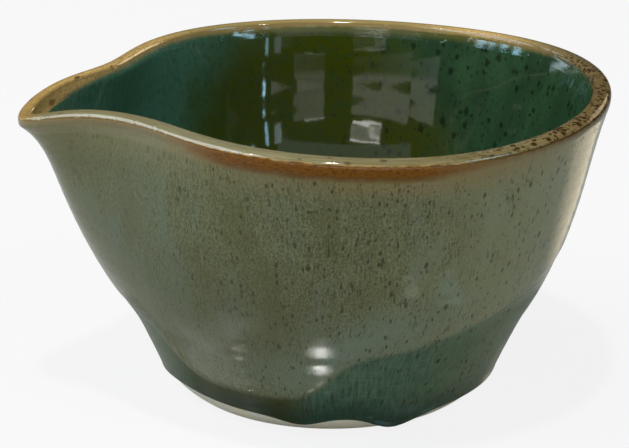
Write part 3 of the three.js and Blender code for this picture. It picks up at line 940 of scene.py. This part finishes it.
def amber_colour(g):
    """Amber glass at the back of the lip, gold at the tip of the spout."""
    amber = g.blend(g.step(g.noise(g.drawn(0.5), 0.7, 2), 0.3, 0.7), AMBER_DARK, AMBER)
    amber = g.blend(g.times(g.step(g.crest, 1.5, 4.0), 0.6), amber, AMBER_INNER)
    amber = g.blend(g.step(g.toward(LIP_DARK_AMBER), 0.1, 0.6), amber, AMBER_BACK)
    amber = g.blend(g.times(g.toward(LIP_GOLD), 0.9), amber, GOLD)
    flecks = g.step(g.noise(g.drawn(0.8, offset=67), 0.5, 2), 0.54, 0.66)
    return g.blend(g.times(flecks, g.toward(LIP_FLECKS), 0.6), amber, KHAKI_BROWN)


def rim_top_colour(g):
    """Khaki lip, browner on the right, amber at the back and along the spout's far side, and greyed on
    its front left by a painted reflection.
    """
    around = g.vector("MULTIPLY", g.wrap, (0.05, 0.05, 1))
    lines = g.noise(g.warped(around, 3, 0.35), 0.32, 1)
    tone = g.blend(g.toward(LIP_BROWN), KHAKI, KHAKI_BROWN)
    # Painted reflection: the top of the lip is paler and greyer on its front left.
    tone = g.blend(g.times(g.toward(LIP_PAINTED_SHEEN), 0.8), tone, KHAKI_PAINTED_SHEEN)
    tone = g.blend(g.step(lines, 0.5, 0.7, 0.0, 0.45), tone, KHAKI_BROWN)
    far = g.math("ADD", g.toward(LIP_AMBER_BACK), g.toward(LIP_AMBER_SPOUT))
    tone = g.blend(g.step(far, 0.25, 0.6), tone, amber_colour(g))
    pale_lines = g.times(g.step(lines, 0.48, 0.32, 0.0, 0.6), g.toward(LIP_PALE))
    tone = g.blend(pale_lines, tone, KHAKI_PALE)
    tone = g.blend(g.times(g.hump(g.crest, 2.0, 0.45), 0.6), tone, TAN)
    dots = g.specks(1.2, 0.46, 0.9, offset=23)
    blots = g.specks(3.4, 0.5, 0.8, offset=41)
    crowd = g.step(g.toward(LIP_DOTS), 0.12, 0.6)
    tone = g.blend(g.times(dots, crowd, 0.9), tone, SPECK_RIM)
    spread = g.math("MULTIPLY_ADD", g.toward(SPOUT_BLOTS), 0.7, g.times(g.toward(LIP_BLOTS), 0.7))
    return g.blend(g.times(blots, spread), tone, SPECK_RIM)


def rust_colour(g, across, front):
    """Iron that broke through under the lip: orange at the top, brown below and on the right."""
    patches = g.noise(g.drawn(0.5, offset=13), 0.7, 3)
    shade = g.blend(g.step(patches, 0.4, 0.7), RUST, RUST_DARK)
    shade = g.blend(g.step(across, -4.4, -6.0), shade, RUST_BROWN)
    other = g.blend(g.toward(RUST_END), TAN, RUST_BROWN)
    return g.blend(front, other, shade)


def rim_outside(g, across, frayed, front):
    """Sage coat below the lip, tan where it thins out, then rust with a dark line over it."""
    tone = warmed(g, dark_marks(g, sage_colour(g)))
    halo = g.times(g.step(frayed, -8.5, -5.0), g.math("MULTIPLY_ADD", front, 0.4, 0.15))
    tone = g.blend(halo, tone, TAN)
    under = g.math("MULTIPLY_ADD", front, 2.4, frayed)
    tone = g.blend(g.step(under, -4.6, -2.4), tone, rust_colour(g, across, front))
    dark_line = g.times(g.hump(across, -2.5, 0.35), g.toward(DARK_LINE_END), 0.8)
    return g.blend(dark_line, tone, SPECK_RIM)


def rim_inside(g, tone, across):
    """The liner's green starts below the lip, and further down at the spout and at the back."""
    behind = g.step(g.toward(LINER_LOW_BACK), 0.2, 0.8)
    inward = g.math("MULTIPLY_ADD", g.toward(LINER_LOW_SPOUT), -4.0, across)
    tone = g.blend(g.times(g.step(inward, 2.2, 3.2), behind), tone, KHAKI_OLIVE)
    further = g.math("MULTIPLY_ADD", behind, -1.4, inward)
    return g.blend(g.step(further, 1.8, 3.6), tone, liner_colour(g))


def rim_shine(g, across, front):
    """Specular level: low on the rust, high on the lip, highest on its left and dull on its right."""
    low_shine = g.math("MULTIPLY_ADD", front, RUST_SHINE - SAGE_SHINE, SAGE_SHINE)
    shine = g.step(across, -3.4, -1.8, low_shine, LIP_SHINE)
    left = g.math("ADD", g.step(g.toward(GLOSSY_LEFT), 0.1, 0.6), 1)
    dull = g.times(g.step(g.toward(DULL_RIGHT), 0.1, 0.6), g.hump(across, -1.4, 1.7))
    return g.times(shine, left, g.math("MULTIPLY_ADD", dull, -0.9, 1))


def rim_glaze():
    """Where the coats break over the lip: rust outside, khaki or amber on top, green inside."""
    g = Glaze("rim_glaze")
    waver = g.math("SUBTRACT", g.noise(g.drawn(2), 1.8, 2), 0.5)
    across = g.math("MULTIPLY_ADD", waver, 0.7, g.crest)
    frayed = g.math("MULTIPLY_ADD", waver, 1.6, g.crest)
    front = g.step(g.toward(RUST_FRONT), 0.12, 0.7)
    tone = rim_outside(g, across, frayed, front)
    tone = g.blend(g.step(across, -2.65, -2.35), tone, rim_top_colour(g))
    # Painted highlight: a broken gold line along the outer corner of the lip's front.
    painted_glint = g.step(g.noise(g.drawn(0.3, offset=37), 1.6, 2), 0.4, 0.6)
    tone = g.blend(g.times(g.hump(across, -2.45, 0.2), front, painted_glint), tone, GOLD)
    roughness = g.step(across, -3.6, -1.8, SAGE_ROUGHNESS, LIP_ROUGHNESS)
    g.surface(rim_inside(g, tone, across), roughness, rim_shine(g, across, front))
    pimples = g.specks(2.6, 0.45, 1.0, offset=91)
    peel = g.noise(g.drawn(1.3, offset=7), 0.45, 3)
    g.bump(g.math("MULTIPLY_ADD", pimples, PIMPLE_HEIGHT, peel), LIP_BUMP)
    return g.material


clay.data.materials.append(bare_stoneware())
liner.data.materials.append(liner_glaze())
base_coat.data.materials.append(base_glaze())
overdip_coat.data.materials.append(overdip_glaze())
rim_coat.data.materials.append(rim_glaze())


def floor_gloss(g, seen_by_camera):
    """Specular level of the floor: what the bowl mirrors is polished, what the eye sees is matt."""
    split = g.node("ShaderNodeSeparateXYZ")
    g.plug(split.inputs["Vector"], g.spot)
    x, y = split.outputs["X"], split.outputs["Y"]
    strip = g.math("SUBTRACT", g.step(x, *STRIP_LEFT), g.step(x, *STRIP_RIGHT))
    field = g.times(g.step(x, *FIELD_RIGHT), g.step(y, *FIELD_BACK))
    polished = g.times(g.math("ADD", strip, field), FLOOR_SHINE)
    return g.times(polished, g.math("SUBTRACT", 1.0, seen_by_camera))


def pale_floor():
    g = Graph("pale_floor")
    path = g.node("ShaderNodeLightPath")
    seen = path.outputs["Is Camera Ray"]
    mirrored = g.math("MAXIMUM", path.outputs["Is Glossy Ray"], path.outputs["Is Transmission Ray"])
    white = g.math("MULTIPLY_ADD", seen, FLOOR_WHITE_SEEN, g.times(mirrored, FLOOR_WHITE_MIRRORED))
    g.surface(FLOOR_GREY, FLOOR_ROUGHNESS, floor_gloss(g, seen))
    g.shader.inputs["IOR"].default_value = FLOOR_IOR
    mix = g.node("ShaderNodeMixShader")
    g.plug(mix.inputs["Fac"], white)
    g.plug(mix.inputs[1], g.shader.outputs["BSDF"])
    g.plug(mix.inputs[2], g.node("ShaderNodeEmission").outputs["Emission"])
    g.plug(g.tree.nodes["Material Output"].inputs["Surface"], mix.outputs["Shader"])
    return g.material


def make_floor():
    corners = [(-1, -1), (1, -1), (1, 1), (-1, 1)]
    points = [(x * HALF_FLOOR, y * HALF_FLOOR, -FLOOR_DROP * MM) for x, y in corners]
    mesh = bpy.data.meshes.new("floor")
    mesh.from_pydata(points, [], [(0, 1, 2, 3)])
    floor = bpy.data.objects.new("floor", mesh)
    bpy.context.scene.collection.objects.link(floor)
    mesh.materials.append(pale_floor())


make_floor()


def stand_lamp(name, turn, climb, distance, width, height, brightness, tint, shape="RECTANGLE"):
    """An area lamp in a direction, facing the bowl. Its brightness counts per area."""
    a, e = math.radians(turn), math.radians(climb)
    direction = Vector((math.cos(e) * math.cos(a), math.cos(e) * math.sin(a), math.sin(e)))
    data = bpy.data.lights.new(name, "AREA")
    data.shape = shape
    data.size = width
    data.size_y = height
    data.energy = brightness * math.pi * width * height
    data.color = tint
    lamp = bpy.data.objects.new(name, data)
    lamp.location = LAMP_TARGET + direction * distance
    lamp.rotation_euler = (-direction).to_track_quat("-Z", "Y").to_euler()
    bpy.context.scene.collection.objects.link(lamp)


def light_room():
    world = bpy.data.worlds.new("studio")
    bpy.context.scene.world = world
    world.use_nodes = True
    background = world.node_tree.nodes["Background"]
    background.inputs["Color"].default_value = ROOM_LIGHT
    background.inputs["Strength"].default_value = ROOM_STRENGTH
    for box in SOFT_BOXES:
        stand_lamp(*box)
    for name, turn, climb, distance, size, brightness in ROUND_LAMPS:
        stand_lamp(name, turn, climb, distance, size, size, brightness, NEUTRAL, "ELLIPSE")


light_room()


def make_camera():
    data = bpy.data.cameras.new("camera")
    data.sensor_fit = "HORIZONTAL"
    data.sensor_width = SENSOR_WIDTH
    data.lens = SENSOR_WIDTH * FOCAL_PIXELS / IMAGE_WIDTH
    data.clip_start = CLIP_START
    data.clip_end = CLIP_END
    low, high = math.cos(CAMERA_HEIGHT_ANGLE), math.sin(CAMERA_HEIGHT_ANGLE)
    back = Vector((0, -low, high))
    ahead = -back
    right = Vector((1, 0, 0))
    up = right.cross(ahead)
    ahead = (ahead + right * CAMERA_YAW + up * CAMERA_PITCH).normalized()
    right = ahead.cross(Vector((0, 0, 1))).normalized()
    up = right.cross(ahead)
    rolled_right = right * math.cos(CAMERA_ROLL) + up * math.sin(CAMERA_ROLL)
    rolled_up = up * math.cos(CAMERA_ROLL) - right * math.sin(CAMERA_ROLL)
    turn = Matrix.Rotation(-CAMERA_SWING, 4, "Z")
    axes = Matrix((rolled_right, rolled_up, -ahead)).transposed().to_4x4()
    camera = bpy.data.objects.new("camera", data)
    camera.matrix_world = (Matrix.Translation((FOOT_CENTRE_X * MM, 0, 0)) @ turn
                           @ Matrix.Translation(back * CAMERA_DISTANCE) @ axes)
    bpy.context.scene.collection.objects.link(camera)
    bpy.context.scene.camera = camera


make_camera()

scene = bpy.context.scene
scene.view_settings.view_transform = "Standard"

bpy.context.view_layer.update()
